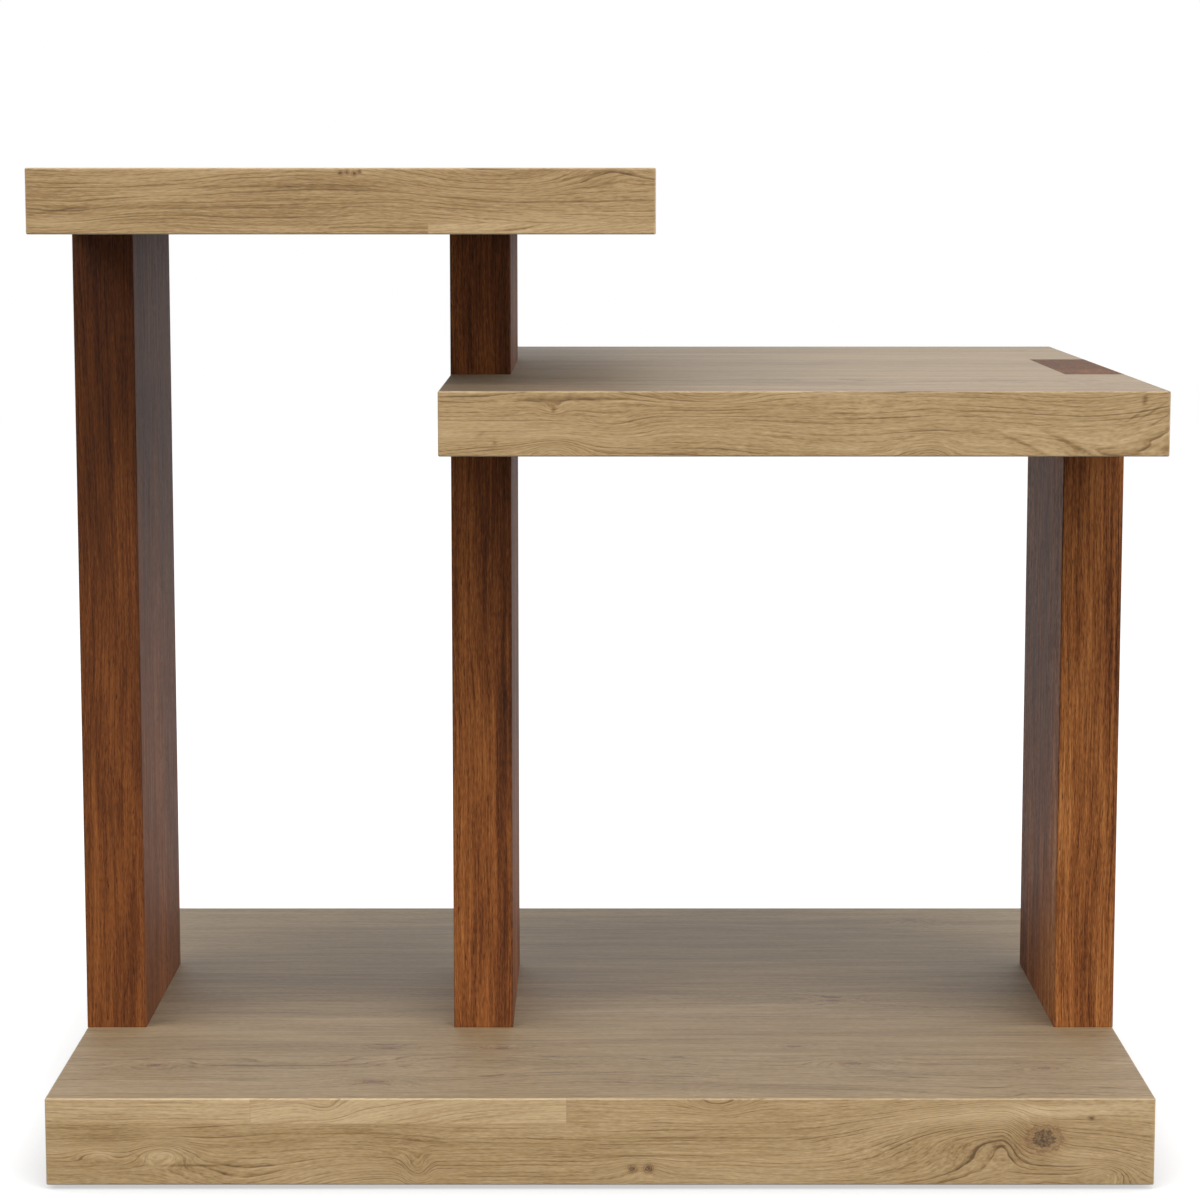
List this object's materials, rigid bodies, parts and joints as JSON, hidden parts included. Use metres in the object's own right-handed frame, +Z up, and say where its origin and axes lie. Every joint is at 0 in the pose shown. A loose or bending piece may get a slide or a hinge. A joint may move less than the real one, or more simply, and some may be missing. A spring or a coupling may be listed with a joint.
{
  "type": "occasional table",
  "caption": "Side table with staggered oak tops at different heights, carried by dark upright plank legs on a thick oak base slab.",
  "frame": {"origin": "on the floor, under the middle of the base slab", "axes": "+X to the right along the base, from the upper top's end to the lower top's end; +Y away from the front faces; +Z up"},
  "size_m": [0.66, 0.52, 0.604],
  "materials": {
    "oak": "satin oiled oak, long straight grain with cathedrals, small knots and tone steps between boards",
    "dark_wood": "satin reddish-brown walnut or sapele, upright grain with fine pores",
    "beech": "bare turned beech dowel",
    "zinc_plated_steel": "bright zinc plate",
    "brass": "plain turned brass",
    "nylon": "moulded brown nylon, matt"
  },
  "bodies": {
    "root": {"base_board_1": "oak", "base_board_2": "oak", "base_board_3": "oak", "base_board_4": "oak", "base_board_5": "oak", "base_board_6": "oak", "lower_top_board_1": "oak", "lower_top_board_2": "oak", "lower_top_board_3": "oak", "lower_top_board_4": "oak", "lower_top_board_5": "oak", "upper_top_board_1": "oak", "upper_top_board_2": "oak", "upper_top_board_3": "oak", "upper_top_board_4": "oak", "left_leg_board_1": "dark_wood", "left_leg_board_2": "dark_wood", "left_leg_board_3": "dark_wood", "middle_leg_board_1": "dark_wood", "middle_leg_lipping": "dark_wood", "middle_leg_board_2": "dark_wood", "middle_leg_board_3": "dark_wood", "right_leg_board_1": "dark_wood", "right_leg_board_2": "dark_wood", "right_leg_board_3": "dark_wood", "leg_bolts": "zinc_plated_steel", "leg_bolt_washers": "zinc_plated_steel", "leg_threaded_inserts": "brass", "leg_foot_dowels": "beech", "top_joint_dowels": "beech", "floor_glides": "nylon", "glide_nails": "zinc_plated_steel"}
  },
  "joints": []
}
